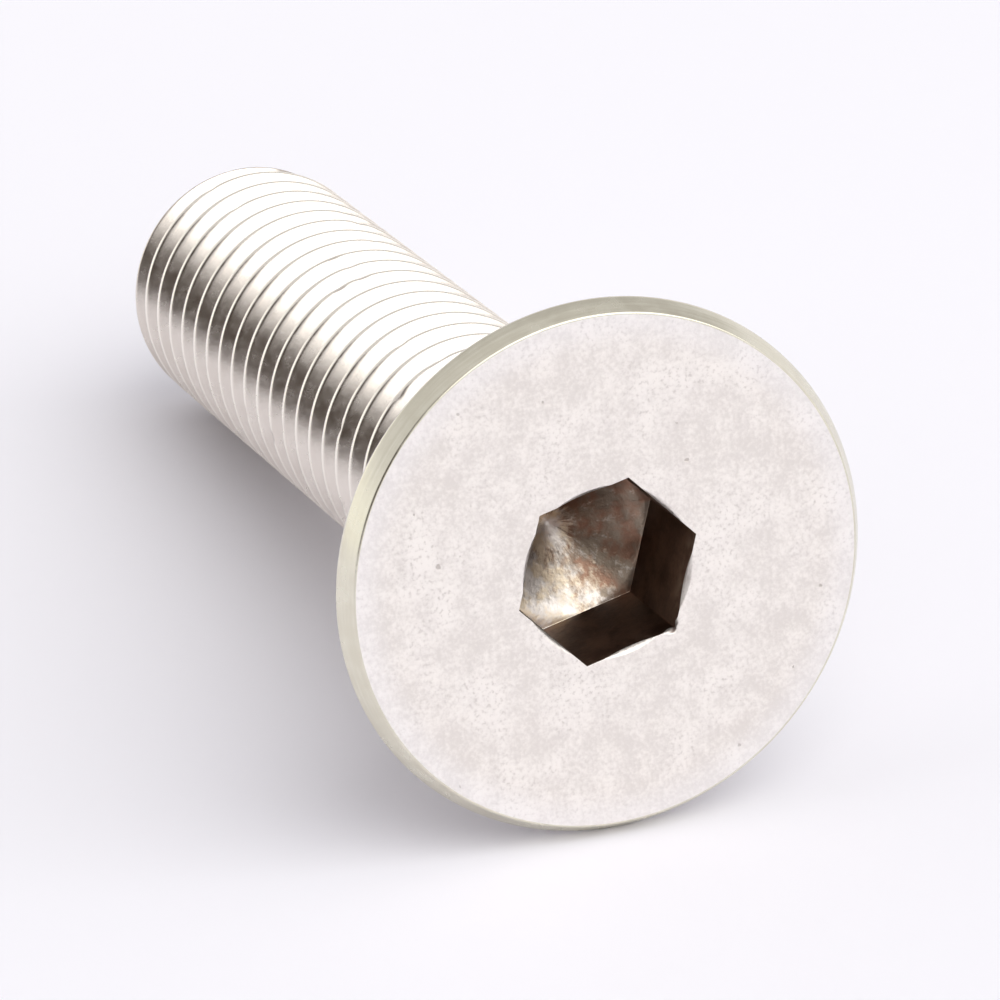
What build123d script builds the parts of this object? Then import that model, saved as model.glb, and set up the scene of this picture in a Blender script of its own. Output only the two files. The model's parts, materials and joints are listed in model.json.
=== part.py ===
from build123d import *
import os
from math import asin, atan2, cos, hypot, radians, sin, tan

# Countersunk head screw with a hexagon socket, metric coarse thread, 90 degree head.
# Millimetres and degrees. The screw lies on its side: the head's rim and the rounded end of
# the shank touch the ground plane Z = 0, and the tip points along +Y.

# ---- whole screw ----
screw_length = 40.0          # head face to tip, the way countersunk screws are measured

# ---- head ----
head_diameter = 19.8         # over the cylindrical rim
rim_height = 0.85            # head face to the seat cone's sharp corner
rim_round = 0.25             # soft corner between the rim and the seat cone
face_bevel_width = 0.4       # bevel round the flat face, measured across the face
face_bevel_depth = 0.3       # the same bevel, measured along the screw
seat_angle = 90.0            # included angle of the countersunk seat

# ---- shank ----
thread_diameter = 9.85       # over the thread crests
neck_diameter = 8.9          # unthreaded blank under the head
under_head_fillet = 0.8      # between the seat cone and the neck
neck_length = 1.4            # seat cone's corner with the neck to the first trace of thread
run_out_length = 0.9         # the crest height grows from the neck to full over this length
tip_diameter = 8.4           # corner of the rounded lead with the flat end of the shank
tip_length = 1.5             # rounded lead from the last full crest to the flat end
tip_round = 0.2              # soft edge between the lead and the flat end

# ---- hexagon socket ----
socket_width = 6.08          # across flats, for a 6 mm key
socket_depth = 4.4           # head face to the foot of the six flats
socket_cone_angle = 120.0    # conical bottom below the flats
socket_turn = 45.5           # turn of the hexagon about the screw's axis
mouth_diameter = 6.44        # countersink at the mouth, a little wider than the flats
mouth_angle = 90.0           # included angle of that countersink

# ---- radii and stations along the screw, measured from the head face ----
head_radius = head_diameter / 2
face_radius = head_radius - face_bevel_width
thread_radius = thread_diameter / 2
neck_radius = neck_diameter / 2
tip_radius = tip_diameter / 2
seat_slope = tan(radians(seat_angle / 2))
neck_station = rim_height + (head_radius - neck_radius) / seat_slope
run_out_station = neck_station + neck_length
thread_station = run_out_station + run_out_length
lead_station = screw_length - tip_length
lead_drop = thread_radius - tip_radius
lead_round = (tip_length**2 + lead_drop**2) / (2 * lead_drop)
lead_turn = 2 * atan2(lead_drop, tip_length)
tip_flat_radius = tip_radius - tip_round * tan((radians(90) - lead_turn) / 2)
socket_cone_depth = socket_width / 2 / tan(radians(socket_cone_angle / 2))
mouth_depth = mouth_diameter / 2 / tan(radians(mouth_angle / 2))

# ---- how the screw lies: on a line that touches the rim's round and the lead's round ----
rim_round_station = rim_height - rim_round * tan(radians(90 - seat_angle / 2) / 2)
rim_round_radius = head_radius - rim_round
step_down = rim_round_radius - (thread_radius - lead_round)
run_between = lead_station - rim_round_station
lying_tilt = atan2(step_down, run_between)
lying_tilt += asin((rim_round - lead_round) / hypot(step_down, run_between))

axis_direction = Vector(0, cos(lying_tilt), -sin(lying_tilt))
face_height = rim_round + rim_round_radius * cos(lying_tilt) + rim_round_station * sin(lying_tilt)
rear_reach = face_radius * sin(lying_tilt)
front_reach = (screw_length - tip_round) * cos(lying_tilt)
front_reach += tip_flat_radius * sin(lying_tilt) + tip_round
face_centre = Vector(0, (rear_reach - front_reach) / 2, face_height)

# On section_plane X runs along the screw from the head face and Y is the radius.
section_plane = Plane(origin=face_centre, x_dir=axis_direction, z_dir=(1, 0, 0))
face_plane = Plane(origin=face_centre, x_dir=(1, 0, 0), z_dir=axis_direction)
screw_axis = Axis(face_centre, axis_direction)

with BuildPart() as screw:
    # Turned form: face, bevel, rim, seat cone, neck, shank over the crests, lead, flat end.
    with BuildSketch(section_plane) as half_section:
        with BuildLine():
            Polyline(
                (screw_length, tip_radius),
                (screw_length, 0),
                (0, 0),
                (0, face_radius),
                (face_bevel_depth, head_radius),
                (rim_height, head_radius),
                (neck_station, neck_radius),
                (run_out_station, neck_radius),
                (thread_station, thread_radius),
                (lead_station, thread_radius),
            )
            TangentArc(
                (lead_station, thread_radius),
                (screw_length, tip_radius),
                tangent=(1, 0),
            )
        make_face()
        rim_corner = half_section.vertices().sort_by_distance((rim_height, head_radius))[0]
        fillet(rim_corner, radius=rim_round)
        neck_corner = half_section.vertices().sort_by_distance((neck_station, neck_radius))[0]
        fillet(neck_corner, radius=under_head_fillet)
        tip_corner = half_section.vertices().sort_by_distance((screw_length, tip_radius))[0]
        fillet(tip_corner, radius=tip_round)
    revolve(axis=screw_axis, revolution_arc=360)

    # Hexagon socket: six flats between a countersunk mouth and a conical bottom.
    with BuildSketch(face_plane):
        RegularPolygon(
            radius=socket_width / 2,
            side_count=6,
            major_radius=False,
            rotation=socket_turn,
        )
    extrude(amount=socket_depth, mode=Mode.SUBTRACT)
    for foot, foot_radius, point in (
        (0, mouth_diameter / 2, mouth_depth),
        (socket_depth, socket_width / 2, socket_depth + socket_cone_depth),
    ):
        with BuildSketch(section_plane):
            with BuildLine():
                Polyline((foot, 0), (foot, foot_radius), (point, 0), close=True)
            make_face()
        revolve(axis=screw_axis, revolution_arc=360, mode=Mode.SUBTRACT)

os.makedirs("parts", exist_ok=True)
screw.part.label = "screw"
export_step(screw.part, "parts/screw.step")
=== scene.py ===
import json
from math import atan2, cos, exp, hypot, pi, radians, remainder, sin, sqrt, tan
from random import Random

import bmesh
import bpy
from mathutils import Matrix, Vector


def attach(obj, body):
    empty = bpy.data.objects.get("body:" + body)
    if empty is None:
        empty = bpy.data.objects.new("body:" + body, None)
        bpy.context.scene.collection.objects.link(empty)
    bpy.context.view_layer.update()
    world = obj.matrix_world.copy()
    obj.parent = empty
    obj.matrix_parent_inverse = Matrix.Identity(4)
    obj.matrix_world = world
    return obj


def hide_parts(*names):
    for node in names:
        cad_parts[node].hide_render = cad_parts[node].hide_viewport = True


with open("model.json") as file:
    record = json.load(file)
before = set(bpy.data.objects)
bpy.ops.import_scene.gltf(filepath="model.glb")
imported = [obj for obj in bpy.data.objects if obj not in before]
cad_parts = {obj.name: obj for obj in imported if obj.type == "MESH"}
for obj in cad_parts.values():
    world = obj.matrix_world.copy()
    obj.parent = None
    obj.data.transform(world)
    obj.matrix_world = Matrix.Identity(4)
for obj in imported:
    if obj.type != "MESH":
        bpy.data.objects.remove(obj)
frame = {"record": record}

# The looks of a countersunk head screw with a hexagon socket, M10 x 40, lying on its side.
# The screw's surface is one closed mesh, written in the screw's own terms: a station along its
# axis from the head face, a radius and an angle about the axis, in millimetres and radians.

MM = 0.001

# ---- the frame: where the screw lies ----
mounts = {mount["name"]: mount for mount in frame["record"]["mounts"]}
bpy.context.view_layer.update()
face_centre = Vector(mounts["hex_socket"]["pos_m"])
screw_axis = -Vector(mounts["hex_socket"]["axis"]).normalized()
across = Vector((1, 0, 0))
downward = screw_axis.cross(across)
lying_tilt = atan2(-screw_axis.z, screw_axis.y)

# ---- head ----
face_radius = 9.5
face_edge_round = 0.10
bevel_radius = 9.76          # the bevel's outer edge, from which the rim widens a little more
bevel_depth = 0.45
bevel_edge_round = 0.3
rim_height = 0.85
rim_round = 0.25
rim_corner_radius = 9.938    # the rim's sharp corner, which its round takes down to 9.89
neck_station = 6.3
neck_radius = 4.45
under_head_fillet = 0.8

# ---- hexagon socket ----
socket_apothem = 3.04
socket_depth = 4.4
mouth_radius = 3.22          # the countersink at the mouth, a 45 degree cone
socket_cone_slope = tan(radians(60))
socket_turn = radians(45.5)

# ---- thread ----
pitch = 1.5
crest_radius = mounts["thread"]["dims"]["r_mm"]
root_radius = 4.02
root_round = 0.2165
crest_round = 0.10           # a crest's own soft edge
shoulder_round = 0.6         # the gentler curve that rolling leaves between crest and flank
shoulder_slope = radians(48)
flank_slope = radians(60)
thread_trace_station = 6.75  # the first trace of the thread on the neck
thread_full_station = 8.9    # the first full-height thread
floor_crest_station = 38.65  # the crest that the shank lies on

# ---- rounded lead and flat end ----
screw_length = 40.0
lead_station = 38.5
lead_round = 1.914
tip_round = 0.2
tip_flat_radius = 4.13
# where the lead's round passes into the end's soft edge
tip_edge_reach = screw_length - tip_round - lead_station
tip_edge_station = lead_station + tip_edge_reach * lead_round / (lead_round - tip_round)
lip_radius = 4.04            # inside of the lip that rolling leaves round the end
end_sink = 0.06              # the end face lies this far inside the lip

# ---- burr on the lip, where the groove runs out through it; its extents are in radians ----
burr_angle = radians(-118)
burr_rise = (-0.55, 0.1)
burr_fade = (-0.75, -0.2)
burr_sink = 0.1              # how far the folded lip dips into the end, as a share of its width
torn_at, torn_width, torn_growth = -0.3, 0.06, 0.9
notch_at, notch_width, notch_depth = 0.15, 0.05, 0.5

# ---- chipped corner of the socket's mouth; its extents are in radians ----
chip_angle = socket_turn
chip_size = 0.2
chip_at, chip_width = 0.05, 0.06
flake_at, flake_width, flake_share = -0.06, 0.03, 0.6

# ---- nicks, small dents on the thread's crests ----
nick_seed = 11
nicks = 60
nick_length = 0.22
nick_slimness = 1.6          # length along the crest over width
nick_depth = 0.07
nick_depth_shares = (0.3, 1.0)
nick_scatter = 0.12          # how far off the crest's middle a nick may lie
nick_foot = 0.3              # nicks fade out this high above the root

# ---- rows and columns of the mesh ----
columns = 168                # round the screw, a multiple of six
columns_per_side = columns // 6
corner_crowding = 0.6        # how far the columns gather at the socket's six corners
arc_step = radians(15)
hold = 0.03                  # distance of the row that keeps a flat beside a round flat
level = 0.001                # a column sunk by less than this isn't sunk
thread_start = neck_station + under_head_fillet * tan(radians(22.5)) + hold
thread_end_gap = 0.16        # the helical rows stop this far before the end
thread_end = screw_length - thread_end_gap
end_row_gaps = (0.1, 0.04, 0)
face_inner_radius = face_radius - 1.0
face_row_shares = (0.7, 0.4, 0.15, 0.004, 0)
wall_row_depths = (hold, 0.5, 1.5, 3.0, socket_depth - hold, socket_depth)
floor_row_radii = (2.98, 2.5, 1.9, 1.3, 0.7, 0.12)

# Rows of the end face: how much of the sink has been reached, radius, width of the burr there.
end_rows = (
    (0, lip_radius, 0.10),
    (0.35, lip_radius - 0.03, 0.16),
    (1, lip_radius - 0.06, 0.22),
    (1, lip_radius - 0.09, 0.24),
    (1, 3.2, 0),
    (1, 2.1, 0),
    (1, 1.0, 0),
)


# ---------------------------------------------------------------- outline and thread

def rounded(corners):
    """Points of an outline through corners (station, radius, round), each softened by its round."""
    points = [Vector(corners[0][:2])]
    for before, corner, after in zip(corners, corners[1:], corners[2:]):
        here = Vector(corner[:2])
        back = (Vector(before[:2]) - here).normalized()
        ahead = (Vector(after[:2]) - here).normalized()
        turn = pi - back.angle(ahead)
        reach = corner[2] * tan(turn / 2)
        centre = here + (back + ahead).normalized() * (corner[2] / cos(turn / 2))
        start = here + back * reach - centre
        side = 1 if back.x * ahead.y - back.y * ahead.x < 0 else -1
        steps = max(2, round(turn / arc_step))
        points.append(here + back * (reach + hold))
        for k in range(steps + 1):
            points.append(centre + Matrix.Rotation(side * turn * k / steps, 2) @ start)
        points.append(here + ahead * (reach + hold))
    points.append(Vector(corners[-1][:2]))
    return points


def fall(start, radius, slopes):
    """Points down a round edge, from a start where its slope is the first of the slopes."""
    offset, height = start
    offset -= radius * sin(slopes[0])
    height -= radius * cos(slopes[0])
    return [(offset + radius * sin(slope), height + radius * cos(slope)) for slope in slopes[1:]]


def crest_side(flat):
    """Points from the end of a crest's flat, this far from its middle, down to its flank."""
    crest = fall((flat, crest_radius), crest_round, (0, shoulder_slope / 2, shoulder_slope))
    between = (shoulder_slope + flank_slope) / 2
    return crest + fall(crest[-1], shoulder_round, (shoulder_slope, between, flank_slope))


def thread_profile():
    """Half a pitch of the full thread as (offset, radius) points, from crest middle to root."""
    reach, flank_top = crest_side(0)[-1]
    sharp_crest_radius = root_radius - root_round + pitch / 2 * tan(flank_slope)
    flat = (sharp_crest_radius - flank_top) / tan(flank_slope) - reach

    crest = crest_side(flat)
    root = [
        (pitch / 2 - root_round * sin(slope), root_radius + root_round * (1 - cos(slope)))
        for slope in (flank_slope, flank_slope / 2, 0)
    ]
    (high, high_radius), (low, low_radius) = crest[-1], root[0]
    flank = [
        (high + hold, high_radius - hold * tan(flank_slope)),
        (low - hold, low_radius + hold * tan(flank_slope)),
    ]
    return [(0, crest_radius), (flat, crest_radius)] + crest + flank + root


profile = thread_profile()


def ridge(offset):
    """Radius of the full thread at an offset along the screw from the middle of a crest."""
    for (near, near_radius), (far, far_radius) in zip(profile, profile[1:]):
        if offset <= far:
            return near_radius + (far_radius - near_radius) * (offset - near) / (far - near)
    return root_radius


def thread_offsets():
    """Offsets from a crest's middle at which one pitch of the thread has its rows."""
    half = [offset for offset, _ in profile[1:]]
    return [-offset for offset in reversed(half[:-1])] + [0] + half


def lead_envelope(station):
    """Largest radius that the rounded lead and the soft end edge leave at a station."""
    if station < lead_station:
        return crest_radius
    if station < tip_edge_station:
        return crest_radius - lead_round + sqrt(lead_round**2 - (station - lead_station)**2)
    past = station - (screw_length - tip_round)
    return tip_flat_radius + sqrt(max(0, tip_round**2 - past**2))


def smooth(value, low, high):
    t = min(1, max(0, (value - low) / (high - low)))
    return t * t * (3 - 2 * t)


def bell(value, width):
    return exp(-(value / width)**2)


def angle_between(first, second):
    return remainder(first - second, 2 * pi)


# The crest's station at angle 0; the floor is a quarter of a turn further.
crest_phase = floor_crest_station - pitch / 4


def place_nicks():
    """Nicks as (station, angle, depth), listed by the whole millimetres near their station."""
    chance = Random(nick_seed)
    listed = {}
    for _ in range(nicks):
        turn = chance.uniform(1.0, (lead_station - thread_full_station) / pitch)
        angle = 2 * pi * (turn % 1)
        lap = round((thread_full_station - crest_phase) / pitch - angle / (2 * pi) + turn)
        station = crest_phase + pitch * (lap + angle / (2 * pi))
        station += chance.uniform(-nick_scatter, nick_scatter)
        depth = nick_depth * chance.uniform(*nick_depth_shares)
        for near in (-1, 0, 1):
            listed.setdefault(int(station) + near, []).append((station, angle, depth))
    return listed


nicks_near = place_nicks()


def nick_at(station, angle):
    """How deep the nicks cut into the crest at a station and an angle."""
    cut = 0
    for nick_station, nick_angle, depth in nicks_near.get(int(station), []):
        along = crest_radius * angle_between(angle, nick_angle)
        away = hypot(along, nick_slimness * (station - nick_station))
        cut = max(cut, depth * bell(away, nick_length))
    return cut


def shank_radius(station, angle):
    """Radius of the threaded shank at a station and an angle, with its run-out and its lead."""
    turns = (station - crest_phase) / pitch - angle / (2 * pi)
    full = ridge(abs(turns - round(turns)) * pitch)
    height = smooth(station, thread_trace_station, thread_full_station)
    radius = min(neck_radius + (full - neck_radius) * height, lead_envelope(station))
    return radius - nick_at(station, angle) * smooth(radius, root_radius + nick_foot, crest_radius)


# ---------------------------------------------------------------- the screw's mesh

class Skin:
    """A closed mesh made of rings, each with one vertex in every column."""

    def __init__(self):
        self.mesh = bmesh.new()

    def vertex(self, station, radius, angle):
        out = across * cos(angle) + downward * sin(angle)
        return self.mesh.verts.new(face_centre + (screw_axis * station + out * radius) * MM)

    def face(self, corners, material):
        unlike = list(dict.fromkeys(corners))
        if len(unlike) > 2:
            self.mesh.faces.new(unlike).material_index = material

    def ring(self, stations, radii, angles):
        return [self.vertex(*place) for place in zip(stations, radii, angles)]

    def sunk_ring(self, last, stations, radii, angles):
        """A ring at or below the head face that keeps the last ring's vertices which lie in it."""
        places = zip(stations, radii, angles)
        return [self.vertex(*place) if place[0] > level else old
                for old, place in zip(last, places)]

    def join(self, first, second, material):
        for i in range(columns):
            k = (i + 1) % columns
            self.face([first[i], first[k], second[k], second[i]], material)

    def close(self, ring, station, material):
        apex = self.vertex(station, 0, 0)
        for i in range(columns):
            self.face([ring[i], ring[(i + 1) % columns], apex], material)


FACE, RIM, SEAT, THREAD, END, WALL, FLOOR = range(7)
column_angles = [socket_turn + 2 * pi * i / columns for i in range(columns)]


def hexagon(apothem):
    """Radii and angles of a hexagon's columns, which gather towards its corners."""
    radii, angles = [], []
    for i in range(columns):
        side, k = divmod(i, columns_per_side)
        part = k / columns_per_side
        part -= corner_crowding * sin(2 * pi * part) / (2 * pi)
        along = apothem * tan(radians(30)) * (2 * part - 1)
        radii.append(sqrt(apothem**2 + along**2))
        angles.append(socket_turn + radians(60 * side + 30) + atan2(along, apothem))
    return radii, angles


def add_thread(skin, first, last):
    """The helical rows between two plain rings, at thread_start and thread_end."""
    offsets = thread_offsets()
    rows_per_turn = len(offsets)
    base = crest_phase + pitch * socket_turn / (2 * pi)
    lowest = int((thread_start - base) / pitch) - 2
    turns = int((thread_end - thread_start) / pitch) + 5

    grid = []
    for i in range(columns):
        column = []
        for j in range(turns * rows_per_turn):
            turn, row = divmod(j, rows_per_turn)
            station = base + pitch * (lowest + turn + i / columns) + offsets[row]
            if station <= thread_start:
                column.append(first[i])
            elif station >= thread_end:
                column.append(last[i])
            else:
                radius = shank_radius(station, column_angles[i])
                column.append(skin.vertex(station, radius, column_angles[i]))
        grid.append(column)
    grid.append(grid[0][rows_per_turn:] + [last[0]] * rows_per_turn)

    for left, right in zip(grid, grid[1:]):
        for j in range(len(left) - 1):
            skin.face([left[j], right[j], right[j + 1], left[j + 1]], THREAD)


def burr(angle):
    """How far the lip is folded inwards at an angle: a crescent, torn once and notched once."""
    away = angle_between(angle, burr_angle)
    crescent = smooth(away, *burr_rise) * smooth(-away, *burr_fade)
    torn = torn_growth * bell(away - torn_at, torn_width)
    notch = notch_depth * bell(away - notch_at, notch_width)
    return crescent + torn - notch


def chip(angle):
    """How far the mouth is broken away at an angle."""
    away = angle_between(angle, chip_angle)
    flake = flake_share * bell(away - flake_at, flake_width)
    return chip_size * (bell(away - chip_at, chip_width) + flake)


def add_head(skin):
    """The head from its flat face outwards and back to the neck; returns its two open rings."""
    outline = rounded([
        (0, face_inner_radius, 0),
        (0, face_radius, face_edge_round),
        (bevel_depth, bevel_radius, bevel_edge_round),
        (rim_height, rim_corner_radius, rim_round),
        (neck_station, neck_radius, under_head_fillet),
        (thread_start, neck_radius, 0),
    ])[:-1]
    face_edge = skin.ring([0.0] * columns, [outline[0].y] * columns, column_angles)
    ring = face_edge
    for point in outline[1:]:
        material = SEAT if point.x > rim_height else RIM if point.x > level else FACE
        following = skin.ring([point.x] * columns, [point.y] * columns, column_angles)
        skin.join(ring, following, material)
        ring = following
    return face_edge, ring


def add_shank(skin, neck):
    """The threaded shank from the neck's ring on, with its soft edge and flat end."""
    end_rings = []
    for station in [thread_end] + [screw_length - gap for gap in end_row_gaps]:
        radii = [shank_radius(station, angle) for angle in column_angles]
        end_rings.append(skin.ring([station] * columns, radii, column_angles))
    add_thread(skin, neck, end_rings[0])
    for first, second in zip(end_rings, end_rings[1:]):
        skin.join(first, second, THREAD)
    lip = [burr(angle) for angle in column_angles]
    ring = end_rings[-1]
    for sink, radius, growth in end_rows:
        stations = [screw_length - end_sink * sink - burr_sink * growth * part for part in lip]
        radii = [radius - growth * part for part in lip]
        following = skin.ring(stations, radii, column_angles)
        skin.join(ring, following, END)
        ring = following
    skin.close(ring, screw_length - end_sink, END)


def add_socket(skin, face_edge):
    """The flat face in to the socket's countersunk mouth, its walls and its conical bottom."""
    wall_radii, hexagon_angles = hexagon(socket_apothem)
    chips = [chip(angle) for angle in hexagon_angles]
    mouth_radii = [max(wall, mouth_radius) + gap for wall, gap in zip(wall_radii, chips)]
    wall_tops = [mouth - wall for mouth, wall in zip(mouth_radii, wall_radii)]
    ring = face_edge
    for share in face_row_shares:
        radii = [r + (face_inner_radius - r) * share for r in mouth_radii]
        angles = [h + (c - h) * share for h, c in zip(hexagon_angles, column_angles)]
        following = skin.ring([0.0] * columns, radii, angles)
        skin.join(ring, following, FACE)
        ring = following
    following = skin.sunk_ring(ring, wall_tops, wall_radii, hexagon_angles)
    skin.join(ring, following, FACE)
    ring = following
    for depth in wall_row_depths:
        stations = [max(depth, top + min(depth, hold)) for top in wall_tops]
        following = skin.ring(stations, wall_radii, hexagon_angles)
        skin.join(ring, following, WALL)
        ring = following
    following = skin.ring([socket_depth] * columns, *hexagon(socket_apothem - hold))
    skin.join(ring, following, FLOOR)
    ring = following
    for radius in floor_row_radii:
        depth = socket_depth + (socket_apothem - radius) / socket_cone_slope
        following = skin.ring([depth] * columns, [radius] * columns, hexagon_angles)
        skin.join(ring, following, FLOOR)
        ring = following
    skin.close(ring, socket_depth + socket_apothem / socket_cone_slope, FLOOR)


def screw_mesh():
    skin = Skin()
    face_edge, neck = add_head(skin)
    add_shank(skin, neck)
    add_socket(skin, face_edge)
    bmesh.ops.recalc_face_normals(skin.mesh, faces=skin.mesh.faces)
    for face in skin.mesh.faces:
        face.smooth = True
    return skin.mesh


# ---------------------------------------------------------------- materials

class Graph:
    """A node tree written as expressions: each call adds a node and returns its output."""

    def __init__(self, tree):
        self.tree = tree

    def node(self, kind, inputs, output=0, **settings):
        node = self.tree.nodes.new(kind)
        for name, value in settings.items():
            setattr(node, name, value)
        for name, value in inputs.items():
            self.put(value, node.inputs[name])
        return node.outputs[output]

    def put(self, value, socket):
        if isinstance(value, bpy.types.NodeSocket):
            self.tree.links.new(value, socket)
        else:
            socket.default_value = value

    def math(self, operation, *values):
        return self.node("ShaderNodeMath", dict(enumerate(values)), operation=operation)

    def add(self, first, second):
        return self.math("ADD", first, second)

    def times(self, first, second):
        return self.math("MULTIPLY", first, second)

    def sum(self, *shares):
        """Sum of (value, weight) pairs."""
        total = self.times(*shares[0])
        for share in shares[1:]:
            total = self.add(total, self.times(*share))
        return total

    def span(self, value, low, high, to_low=0.0, to_high=1.0):
        """A soft step of a value: to_low up to low, to_high from high on."""
        ends = {"From Min": low, "From Max": high, "To Min": to_low, "To Max": to_high}
        inputs = {"Value": value, **ends}
        return self.node("ShaderNodeMapRange", inputs, interpolation_type="SMOOTHSTEP")

    def around(self, noise, width, to_low=0.0, to_high=1.0):
        """A soft step of this width round the middle of a noise, which is 0.5."""
        return self.span(noise, 0.5 - width / 2, 0.5 + width / 2, to_low, to_high)

    def mix(self, factor, low, high):
        """A colour between two colours."""
        sides = [c if isinstance(c, bpy.types.NodeSocket) else (*c, 1) for c in (low, high)]
        inputs = {0: factor, 6: sides[0], 7: sides[1]}
        return self.node("ShaderNodeMix", inputs, 2, data_type="RGBA")

    def vector(self, x, y, z):
        return self.node("ShaderNodeCombineXYZ", {0: x, 1: y, 2: z})


class Steel(Graph):
    """One finish of the screw's steel, laid out in the screw's own millimetres."""

    def __init__(self, name):
        self.material = bpy.data.materials.new(name)
        self.material.use_nodes = True
        super().__init__(self.material.node_tree)
        place = self.node("ShaderNodeTexCoord", {}, "Object")
        turned = Matrix.Rotation(lying_tilt, 3, "X") @ face_centre / MM
        self.place = self.node("ShaderNodeMapping", {
            "Vector": place,
            "Location": -turned,
            "Rotation": (lying_tilt, 0, 0),
            "Scale": (1 / MM, 1 / MM, 1 / MM),
        })
        self.x = self.node("ShaderNodeSeparateXYZ", {0: self.place}, "X")
        self.station = self.node("ShaderNodeSeparateXYZ", {0: self.place}, "Y")
        self.z = self.node("ShaderNodeSeparateXYZ", {0: self.place}, "Z")
        squares = self.add(self.times(self.x, self.x), self.times(self.z, self.z))
        self.radius = self.math("SQRT", squares)

    def noise(self, size, detail=3.0, roughness=0.6, place=None):
        """Noise round 0.5 with features about so many millimetres wide."""
        inputs = {"Vector": place or self.place, "Scale": 1 / size}
        inputs.update({"Detail": detail, "Roughness": roughness})
        return self.node("ShaderNodeTexNoise", inputs)

    def specks(self, size, amount):
        """Scattered small round marks: 1 in a mark, 0 between them."""
        inputs = {"Vector": self.place, "Scale": 1 / size, "Randomness": 1.0}
        distance = self.node("ShaderNodeTexVoronoi", inputs)
        ragged = self.add(distance, self.times(self.noise(size / 4), 0.3))
        return self.span(ragged, 0.15 + amount / 2, 0.15 + amount, 1.0, 0.0)

    def drawn(self, across_lines, length=0.03):
        """A place squeezed round the axis, so that noise on it runs in lines round the screw."""
        return self.vector(self.times(self.x, length), across_lines, self.times(self.z, length))

    def finish(self, colour, roughness, bumps):
        """Set the shader. A bump is a height and the depth in millimetres that 1 of it makes."""
        shader = self.tree.nodes["Principled BSDF"]
        shader.inputs["Metallic"].default_value = 1
        self.put(colour, shader.inputs["Base Color"])
        self.put(roughness, shader.inputs["Roughness"])
        normal = None
        for height, depth in bumps:
            inputs = {"Height": height, "Distance": depth * MM, "Strength": 1.0}
            if normal:
                inputs["Normal"] = normal
            normal = self.node("ShaderNodeBump", inputs)
        self.put(normal, shader.inputs["Normal"])
        return self.material


def blasted_face():
    """Fine-grained matt face: warm pale grey, faintly mottled, with dirt in some of its grain,
    painted shade in the mouth's chipped corner and a painted pale, cool cast towards its edge.
    """
    shaded, pale = (0.79, 0.742, 0.697), (0.94, 0.895, 0.848)
    dirt, pit, chip_painted_shade = (0.42, 0.37, 0.33), (0.36, 0.30, 0.27), (0.10, 0.065, 0.055)
    painted_cool_edge = (0.93, 0.92, 0.94)

    steel = Steel("blasted_face")
    clouds = steel.noise(2.6, 2.0)
    mottle = steel.noise(0.8)
    grain = steel.noise(0.16)
    pits = steel.specks(1.3, 0.05)
    tone = steel.sum((clouds, 0.30), (mottle, 0.30), (grain, 0.40))
    colour = steel.mix(steel.around(tone, 0.20), shaded, pale)
    dirty = steel.times(steel.span(clouds, 0.46, 0.66), steel.span(grain, 0.34, 0.46, 1.0, 0.0))
    colour = steel.mix(steel.times(dirty, 0.26), colour, dirt)
    colour = steel.mix(steel.times(pits, 0.5), colour, pit)

    # Painted shade: the sides of the mouth's chipped corner are darkened in colour to stand in for
    # the shade in the notch.
    reach = mouth_radius / cos(radians(30))
    corner = (reach * cos(chip_angle), 0, -reach * sin(chip_angle))
    inputs = {0: steel.place, 1: corner}
    away = steel.node("ShaderNodeVectorMath", inputs, "Value", operation="DISTANCE")
    sunk = steel.span(steel.station, 0.01, 0.05)
    broken = steel.times(steel.span(away, 0.2, 0.5, 1.0, 0.0), sunk)
    colour = steel.mix(steel.times(broken, 0.9), colour, chip_painted_shade)

    # Painted light: towards its edge the face turns paler and cooler in colour.
    edge = steel.span(steel.radius, face_radius - 1.4, face_radius - 0.2)
    colour = steel.mix(steel.times(edge, 0.3), colour, painted_cool_edge)
    roughness = steel.around(mottle, 0.4, 0.38, 0.48)
    sunk_pits = steel.times(pits, -1.0)
    bumps = ((clouds, 0.10), (mottle, 0.012), (grain, 0.020), (sunk_pits, 0.02))
    return steel.finish(colour, roughness, bumps)


def turned_rim():
    """Smooth rim with faint turning lines and an olive cast, partly the steel's own tint and partly
    a painted reflection.
    """
    # The olive tint of both colours is partly a painted reflection of the surroundings.
    olive, pale_olive = (0.71, 0.675, 0.56), (0.78, 0.75, 0.635)

    steel = Steel("turned_rim")
    lines = steel.noise(0.08, 2.0, 0.5, steel.drawn(steel.station))
    wear = steel.noise(0.9, 2.0)
    tone = steel.sum((lines, 0.4), (wear, 0.6))
    colour = steel.mix(steel.around(tone, 0.3), olive, pale_olive)
    roughness = steel.around(wear, 0.4, 0.20, 0.28)
    return steel.finish(colour, roughness, ((lines, 0.002), (wear, 0.006)))


def satin_seat():
    """Smooth satin cone with faint turning lines, handling marks and a fine grain."""
    grey, pale, mark = (0.58, 0.545, 0.515), (0.67, 0.64, 0.615), (0.32, 0.28, 0.25)

    steel = Steel("satin_seat")
    lines = steel.noise(0.10, 3.0, 0.6, steel.drawn(steel.station))
    clouds = steel.noise(1.5)
    grain = steel.noise(0.12, 2.0)
    marks = steel.specks(1.2, 0.08)
    tone = steel.sum((lines, 0.35), (clouds, 0.65))
    colour = steel.mix(steel.around(tone, 0.3), grey, pale)
    colour = steel.mix(steel.times(marks, 0.4), colour, mark)
    roughness = steel.around(clouds, 0.4, 0.24, 0.34)
    return steel.finish(colour, roughness, ((lines, 0.003), (grain, 0.003), (clouds, 0.02)))


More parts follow.
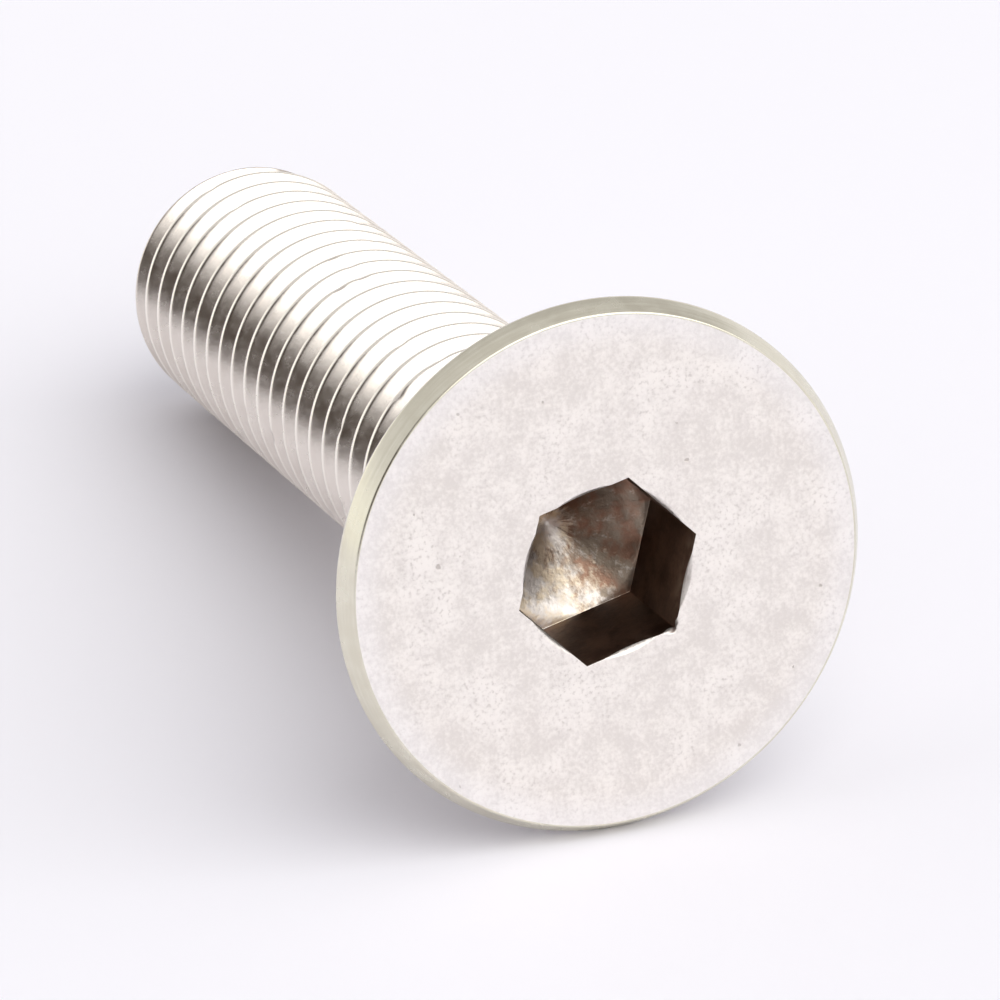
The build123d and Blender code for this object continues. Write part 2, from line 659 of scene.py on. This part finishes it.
def rolled_thread():
    """Rolled thread: flow lines along the flanks, polished crests, grime in the root."""
    grey, pale = (0.74, 0.68, 0.62), (0.82, 0.765, 0.705)
    grime, polish = (0.30, 0.25, 0.215), (0.95, 0.905, 0.82)

    steel = Steel("rolled_thread")
    lines = steel.noise(0.05, 2.0, 0.6, steel.drawn(steel.radius, 0.05))
    wear = steel.noise(0.45, 3.0, 0.55)
    clouds = steel.noise(2.2, 2.0)
    threaded = steel.span(steel.station, thread_trace_station, thread_full_station)
    low = steel.span(steel.radius, root_radius, root_radius + 0.25, 1.0, 0.0)
    root = steel.times(low, threaded)
    crest = steel.span(steel.radius, crest_radius - 0.05, crest_radius - 0.01)
    tone = steel.sum((lines, 0.3), (wear, 0.35), (clouds, 0.35))
    colour = steel.mix(steel.around(tone, 0.28), grey, pale)
    grimy = steel.times(root, steel.span(wear, 0.3, 0.6, 0.3, 0.7))
    colour = steel.mix(grimy, colour, grime)
    colour = steel.mix(steel.times(crest, 0.85), colour, polish)
    roughness = steel.around(wear, 0.4, 0.20, 0.28)
    roughness = steel.add(roughness, steel.times(root, 0.12))
    return steel.finish(colour, roughness, ((lines, 0.0015), (wear, 0.004)))


def sheared_end():
    """Flat end: grey with a faint lavender cast that is a painted reflection of the backdrop, with
    faint parallel marks of the cut and a few pits.
    """
    # The lavender cast of both colours is a painted reflection of the backdrop.
    lavender, pale = (0.62, 0.605, 0.62), (0.74, 0.725, 0.74)
    pit, folded = (0.30, 0.27, 0.26), (0.40, 0.36, 0.33)

    steel = Steel("sheared_end")
    along_cut = steel.vector(steel.x, 0.0, steel.times(steel.z, 0.04))
    cut = steel.noise(0.12, 3.0, 0.6, along_cut)
    clouds = steel.noise(1.4)
    pits = steel.specks(0.9, 0.10)
    tone = steel.sum((cut, 0.4), (clouds, 0.6))
    colour = steel.mix(steel.around(tone, 0.3), lavender, pale)
    colour = steel.mix(steel.times(pits, 0.5), colour, pit)
    lip = steel.span(steel.radius, lip_radius - 0.25, lip_radius - 0.02)
    colour = steel.mix(steel.times(lip, 0.35), colour, folded)
    roughness = steel.around(clouds, 0.4, 0.26, 0.38)
    sunk_pits = steel.times(pits, -1.0)
    return steel.finish(colour, roughness, ((cut, 0.005), (clouds, 0.02), (sunk_pits, 0.02)))


def socket_wall():
    """Walls of the socket: an even dark brown film, a little worn towards the mouth."""
    dark, brown, worn_grey = (0.085, 0.046, 0.032), (0.17, 0.105, 0.075), (0.34, 0.29, 0.25)

    steel = Steel("socket_wall")
    film = steel.noise(1.1)
    grain = steel.noise(0.15, 2.0)
    tone = steel.sum((film, 0.8), (grain, 0.2))
    colour = steel.mix(steel.around(tone, 0.3), dark, brown)
    worn = steel.times(steel.span(steel.station, 0.1, 0.9, 1.0, 0.0), steel.span(film, 0.45, 0.7))
    colour = steel.mix(steel.times(worn, 0.5), colour, worn_grey)
    roughness = steel.around(film, 0.4, 0.38, 0.5)
    return steel.finish(colour, roughness, ((film, 0.02), (grain, 0.006)))


def socket_floor():
    """Bottom of the socket: coppery film, rubbed bright in ragged streaks from its middle, with
    painted light that makes it brighter towards its lower left.
    """
    copper, brown = (0.34, 0.20, 0.14), (0.34, 0.275, 0.215)
    straw, white = (1.0, 0.86, 0.66), (1.0, 0.94, 0.88)

    steel = Steel("socket_floor")
    spokes = steel.vector(
        steel.math("DIVIDE", steel.x, steel.radius),
        steel.times(steel.radius, 0.25),
        steel.math("DIVIDE", steel.z, steel.radius),
    )
    streaks = steel.noise(0.16, 4.0, 0.75, spokes)
    film = steel.noise(0.8)
    blotches = steel.noise(0.35, 4.0, 0.7)
    # Painted light: this term brightens the floor's colour towards its lower left, where the light
    # falls.
    side = steel.sum((steel.x, -0.18), (steel.z, -0.14))
    tone = steel.sum((streaks, 1.2), (blotches, 0.7))
    tone = steel.add(tone, steel.span(side, -0.35, 0.55, 0.0, 0.6))
    tone = steel.add(tone, steel.span(steel.radius, 0.3, 1.2, 0.35, 0.0))
    dull = steel.mix(steel.around(film, 0.24), copper, brown)
    rubbed = steel.mix(steel.around(film, 0.20), straw, white)
    colour = steel.mix(steel.span(tone, 1.04, 1.50), dull, rubbed)
    roughness = steel.around(blotches, 0.4, 0.33, 0.45)
    return steel.finish(colour, roughness, ((streaks, 0.009), (blotches, 0.010), (film, 0.03)))


# ---------------------------------------------------------------- the piece

def make_screw():
    data = bpy.data.meshes.new("screw_steel")
    built = screw_mesh()
    built.to_mesh(data)
    built.free()
    for finish in (
        blasted_face,
        turned_rim,
        satin_seat,
        rolled_thread,
        sheared_end,
        socket_wall,
        socket_floor,
    ):
        data.materials.append(finish())
    screw = bpy.data.objects.new("screw_steel", data)
    bpy.context.scene.collection.objects.link(screw)
    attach(screw, "root")
    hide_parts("screw")


# ---------------------------------------------------------------- floor, light and camera

camera_place = Vector((-91.9, -252.0, 132.9)) * MM
camera_aim = Vector((0, -8.7, 7.9)) * MM
camera_lens = 284

floor_reach = 1.5
floor_fade = (0.10, 0.32)    # the floor fades into the backdrop between these radii
floor_colour = (0.92, 0.915, 0.975)
backdrop = (0.975, 0.955, 0.99)

# The studio's light by elevation above the horizon, in degrees, and behind the screw.
horizon_light = (1.03, 1.015, 1.04)
overhead_light = (0.76, 0.745, 0.745)
overhead_from, overhead_to = 5, 43
back_light = (0.60, 0.585, 0.58)
back_from, back_to = 15, 40
ground_light = (0.93, 0.91, 0.95)
ground_to, ground_from = -4, 1

# The studio's patches: the tint and brightness of each, then in degrees its azimuth to the
# right of the camera, its elevation, half its width, half its height and its softness.
studio_patches = (
    ((1.0, 0.99, 0.97), 2.25, 50, 41, 55, 13, 4),     # panel, front right and high
    ((1.0, 0.99, 0.97), 2.25, 50, 66, 60, 16, 5),     # its upper part
    ((1.0, 0.985, 0.94), 1.2, -86, 7, 25, 11, 6),     # pale wall on the left
    ((1.0, 0.975, 0.91), 1.3, -130, 2, 18, 12, 5),    # pale wall behind on the left
    ((1.0, 0.76, 0.60), 0.06, -40, 30, 20, 27, 5),    # dark room to the left of the camera
    ((1.0, 0.78, 0.64), 0.07, -14, 13, 20, 14, 6),    # dark room round the camera
)


def make_floor():
    mesh = bmesh.new()
    bmesh.ops.create_circle(mesh, cap_ends=True, segments=96, radius=floor_reach)
    data = bpy.data.meshes.new("floor")
    mesh.to_mesh(data)
    mesh.free()
    floor = bpy.data.objects.new("floor", data)
    bpy.context.scene.collection.objects.link(floor)

    material = bpy.data.materials.new("floor")
    material.use_nodes = True
    shader = material.node_tree.nodes["Principled BSDF"]
    shader.inputs["Base Color"].default_value = (*floor_colour, 1)
    shader.inputs["Roughness"].default_value = 0.7
    shader.inputs["Specular IOR Level"].default_value = 0.25
    paper = Graph(material.node_tree)
    place = paper.node("ShaderNodeTexCoord", {}, "Object")
    distance = paper.node("ShaderNodeVectorMath", {0: place}, "Value", operation="LENGTH")
    faded = paper.span(distance, *floor_fade)
    clear = paper.node("ShaderNodeBsdfTransparent", {})
    mixed = paper.node("ShaderNodeMixShader", {0: faded, 1: shader.outputs[0], 2: clear})
    paper.put(mixed, material.node_tree.nodes["Material Output"].inputs["Surface"])
    data.materials.append(material)


def make_world():
    """A white studio: pale at the horizon, darker overhead, with bright panels and a dark front."""
    world = bpy.data.worlds.new("studio")
    bpy.context.scene.world = world
    world.use_nodes = True
    studio = Graph(world.node_tree)
    sight = studio.node("ShaderNodeTexCoord", {}, "Generated")
    to_camera = camera_place - face_centre
    turned = studio.node("ShaderNodeVectorRotate", {
        "Vector": sight,
        "Angle": -atan2(to_camera.x, -to_camera.y),
    }, rotation_type="Z_AXIS")
    right = studio.node("ShaderNodeSeparateXYZ", {0: turned}, "X")
    behind = studio.node("ShaderNodeSeparateXYZ", {0: turned}, "Y")
    height = studio.node("ShaderNodeSeparateXYZ", {0: turned}, "Z")
    ahead = studio.times(behind, -1.0)
    azimuth = studio.math("DEGREES", studio.math("ARCTAN2", right, ahead))
    elevation = studio.math("DEGREES", studio.math("ARCSINE", height))

    def within(angle, middle, half, softness):
        """1 inside an angle's range, 0 outside it, with soft ends."""
        away = studio.math("ABSOLUTE", studio.add(angle, -middle))
        return studio.span(away, half - softness, half + softness, 1.0, 0.0)

    risen = studio.span(elevation, overhead_from, overhead_to)
    light = studio.mix(risen, horizon_light, overhead_light)
    back = studio.times(studio.span(behind, 0.0, 0.6), studio.span(elevation, back_from, back_to))
    light = studio.mix(back, light, back_light)
    for tint, strength, aside, up, half_width, half_height, softness in studio_patches:
        inside = studio.times(
            within(azimuth, aside, half_width, softness),
            within(elevation, up, half_height, softness),
        )
        light = studio.mix(inside, light, tuple(strength * part for part in tint))
    below = studio.span(elevation, ground_to, ground_from, 1.0, 0.0)
    light = studio.mix(below, light, ground_light)

    seen = studio.node("ShaderNodeBackground", {"Color": (*backdrop, 1)})
    lit = studio.node("ShaderNodeBackground", {"Color": light})
    camera_ray = studio.node("ShaderNodeLightPath", {}, "Is Camera Ray")
    mixed = studio.node("ShaderNodeMixShader", {0: camera_ray, 1: lit, 2: seen})
    studio.put(mixed, world.node_tree.nodes["World Output"].inputs["Surface"])


def make_camera():
    data = bpy.data.cameras.new("camera")
    camera = bpy.data.objects.new("camera", data)
    bpy.context.scene.collection.objects.link(camera)
    data.lens = camera_lens
    data.clip_start = 0.01
    data.clip_end = 10
    camera.location = camera_place
    camera.rotation_mode = "QUATERNION"
    camera.rotation_quaternion = (camera_aim - camera_place).to_track_quat("-Z", "Y")
    bpy.context.scene.camera = camera


make_screw()
make_floor()
make_world()
make_camera()
bpy.context.scene.view_settings.view_transform = "Standard"
